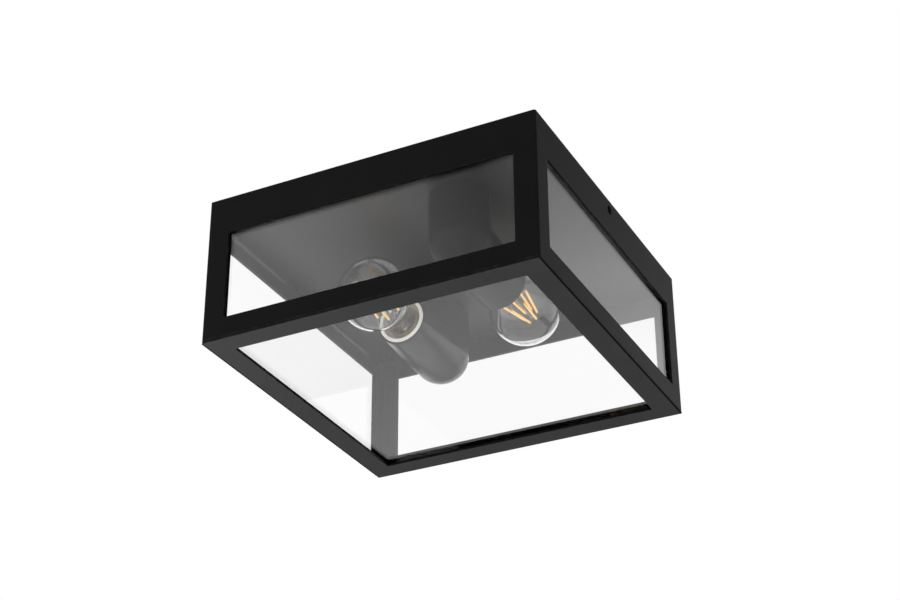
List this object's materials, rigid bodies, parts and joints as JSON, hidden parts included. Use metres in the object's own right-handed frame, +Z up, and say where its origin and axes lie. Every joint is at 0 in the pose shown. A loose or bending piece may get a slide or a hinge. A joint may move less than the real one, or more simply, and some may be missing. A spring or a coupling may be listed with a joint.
{
  "type": "porch ceiling lantern",
  "caption": "Square flush ceiling lantern for a porch: black sheet-steel frame, clear panes on the sides and underneath, two clear screw-in lamps in elbow lampholders inside.",
  "frame": {"origin": "middle of the face that lies against the ceiling", "axes": "+Z up into the ceiling, -Y out of the front window, +X to the right as seen from the front"},
  "size_m": [0.29, 0.29, 0.13],
  "materials": {
    "black_paint": "satin textured powder coat",
    "white_paint": "satin powder coat",
    "tray_paint": "smooth satin black powder coat",
    "elbow_metal": "casting with a smooth black powder coat",
    "pane_glass": "clear",
    "bulb_glass": "clear",
    "porcelain": "glossy glaze",
    "seal_rubber": "matt",
    "zinc_steel": "bright zinc plate",
    "black_screw": "black oxide",
    "brass": "plain",
    "nylon": "natural nylon",
    "brown_sleeve": "plain",
    "blue_sleeve": "plain",
    "green_sleeve": "plain",
    "cap_nickel": "nickel plate",
    "black_glass": "glossy",
    "solder": "dull solder",
    "strip_phosphor": "glowing phosphor"
  },
  "bodies": {
    "fixture": {"ceiling_box": "white_paint", "cable_grommet": "seal_rubber", "tray_standoffs": "zinc_steel", "lamp_tray": "tray_paint", "tray_screws": "black_screw", "terminal_block": "nylon", "terminal_tubes": "brass", "terminal_screws": "zinc_steel", "terminal_block_screw": "zinc_steel", "earth_stud": "brass", "earth_ring": "brass", "earth_nuts": "brass", "left_elbow": "elbow_metal", "right_elbow": "elbow_metal", "nipples": "zinc_steel", "nipple_nuts": "zinc_steel", "left_socket": "porcelain", "right_socket": "porcelain", "left_screw_shell": "brass", "right_screw_shell": "brass", "left_tip_contact": "brass", "right_tip_contact": "brass", "socket_screws": "zinc_steel", "socket_terminals": "brass", "left_live_wire": "brown_sleeve", "left_neutral_wire": "blue_sleeve", "right_live_wire": "brown_sleeve", "right_neutral_wire": "blue_sleeve", "earth_wire": "green_sleeve"},
    "cover": {"front_panel": "black_paint", "back_panel": "black_paint", "left_panel": "black_paint", "right_panel": "black_paint", "bottom_panel": "black_paint", "front_glass": "pane_glass", "back_glass": "pane_glass", "left_glass": "pane_glass", "right_glass": "pane_glass", "bottom_glass": "pane_glass", "bottom_glass_seal": "seal_rubber", "glass_corner_angles": "black_paint", "press_nuts": "zinc_steel"},
    "left_clamp": {"left_clamp_screw": "black_screw"},
    "right_clamp": {"right_clamp_screw": "black_screw"},
    "left_lamp": {"left_bulb_glass": "bulb_glass", "left_bulb_cap": "cap_nickel", "left_bulb_insulator": "black_glass", "left_bulb_tip": "solder", "left_bulb_stem": "bulb_glass", "left_bulb_leads": "cap_nickel", "left_bulb_strips": "strip_phosphor"},
    "right_lamp": {"right_bulb_glass": "bulb_glass", "right_bulb_cap": "cap_nickel", "right_bulb_insulator": "black_glass", "right_bulb_tip": "solder", "right_bulb_stem": "bulb_glass", "right_bulb_leads": "cap_nickel", "right_bulb_strips": "strip_phosphor"}
  },
  "joints": [
    {"name": "cover_lower", "type": "slide", "parent": "fixture", "child": "cover", "axis": [0, 0, -1], "range_m": [0, 0.12]},
    {"name": "left_clamp_turn", "type": "slide", "parent": "cover", "child": "left_clamp", "axis": [-1, 0, 0], "range_m": [0, 0.0026]},
    {"name": "right_clamp_turn", "type": "slide", "parent": "cover", "child": "right_clamp", "axis": [1, 0, 0], "range_m": [0, 0.0026]},
    {"name": "left_lamp_unscrew", "type": "slide", "parent": "fixture", "child": "left_lamp", "axis": [0, -1, 0], "range_m": [0, 0.0254]},
    {"name": "right_lamp_unscrew", "type": "slide", "parent": "fixture", "child": "right_lamp", "axis": [0, 1, 0], "range_m": [0, 0.0254]}
  ]
}
